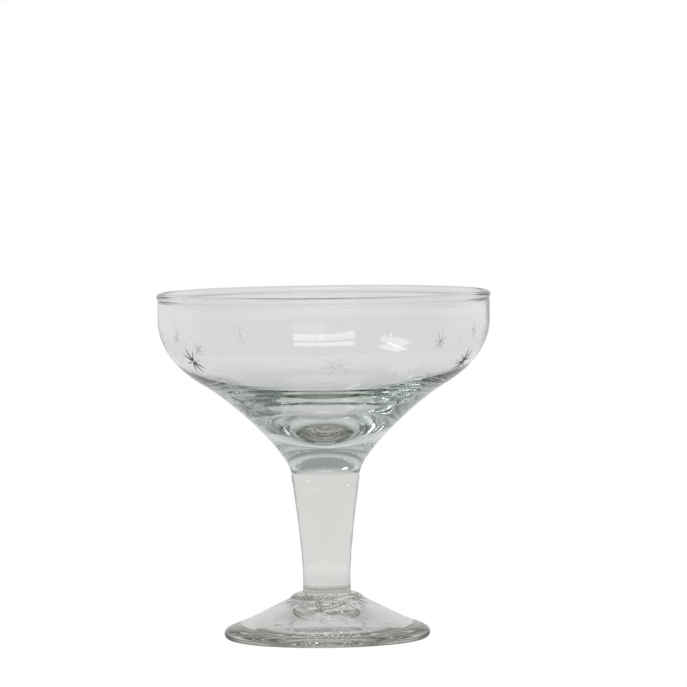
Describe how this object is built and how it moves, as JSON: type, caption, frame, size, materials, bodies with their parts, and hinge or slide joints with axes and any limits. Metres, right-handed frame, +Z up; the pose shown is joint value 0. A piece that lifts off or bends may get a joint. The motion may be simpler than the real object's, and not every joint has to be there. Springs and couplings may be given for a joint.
{
  "type": "champagne coupe",
  "caption": "Wide, shallow stemmed drinking glass: a flared coupe bowl with a rounded rim on a thick tapered stem and a cone-shaped foot, in clear glass.",
  "frame": {"origin": "on the table, at the centre of the foot's rest ring", "axes": "+Z up along the glass's axis of revolution, +X to the right and -Y towards the viewer of the picture"},
  "size_m": [0.1106, 0.1106, 0.1152],
  "materials": {
    "bowl_glass": "clear fire-polished soda glass with fine grey cut stars and a faint green tint where it is thick",
    "stem_glass": "clear solid glass, slightly wavy, smooth",
    "foot_glass": "clear glass with a faint green-grey tint in the thick edge, smooth above and wrinkled at the middle of the underside"
  },
  "bodies": {
    "root": {"bowl": "bowl_glass", "stem": "stem_glass", "foot": "foot_glass"}
  },
  "joints": []
}
